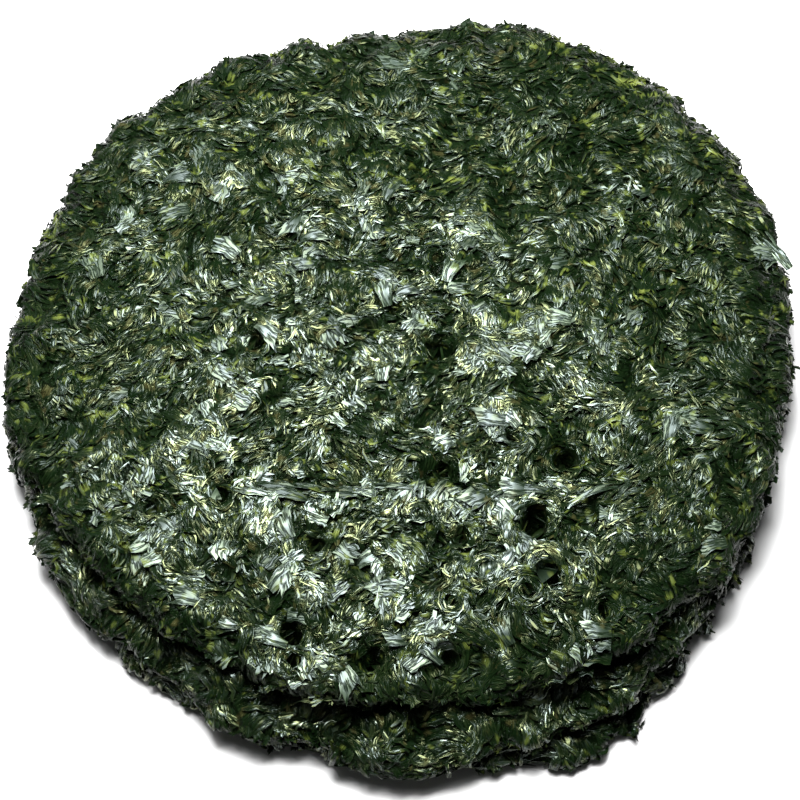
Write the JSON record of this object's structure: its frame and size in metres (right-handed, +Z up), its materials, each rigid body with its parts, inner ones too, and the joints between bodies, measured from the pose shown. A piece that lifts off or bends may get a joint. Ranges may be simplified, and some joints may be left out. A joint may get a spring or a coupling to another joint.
{
  "type": "dried laver cake",
  "caption": "Round pressed cake of dried laver seaweed: crinkled dark green felted layers with ragged rims, slipped a little over one another.",
  "frame": {"origin": "middle of the footprint's box, on the surface that the cake rests on", "axes": "+Z up through the layers; -Y towards the side where the lower layers peek out, +X to the right of it"},
  "size_m": [0.2228, 0.2376, 0.0262],
  "materials": {
    "laver_top": "crinkled dry film, dark green-black with a glossy sheen",
    "laver_middle": "crinkled dry film, darker green-black, half glossy",
    "laver_bottom": "crinkled dry film, nearly black, half glossy"
  },
  "bodies": {
    "root": {"layer_bottom": "laver_bottom", "layer_middle": "laver_middle", "layer_top": "laver_top"}
  },
  "joints": []
}
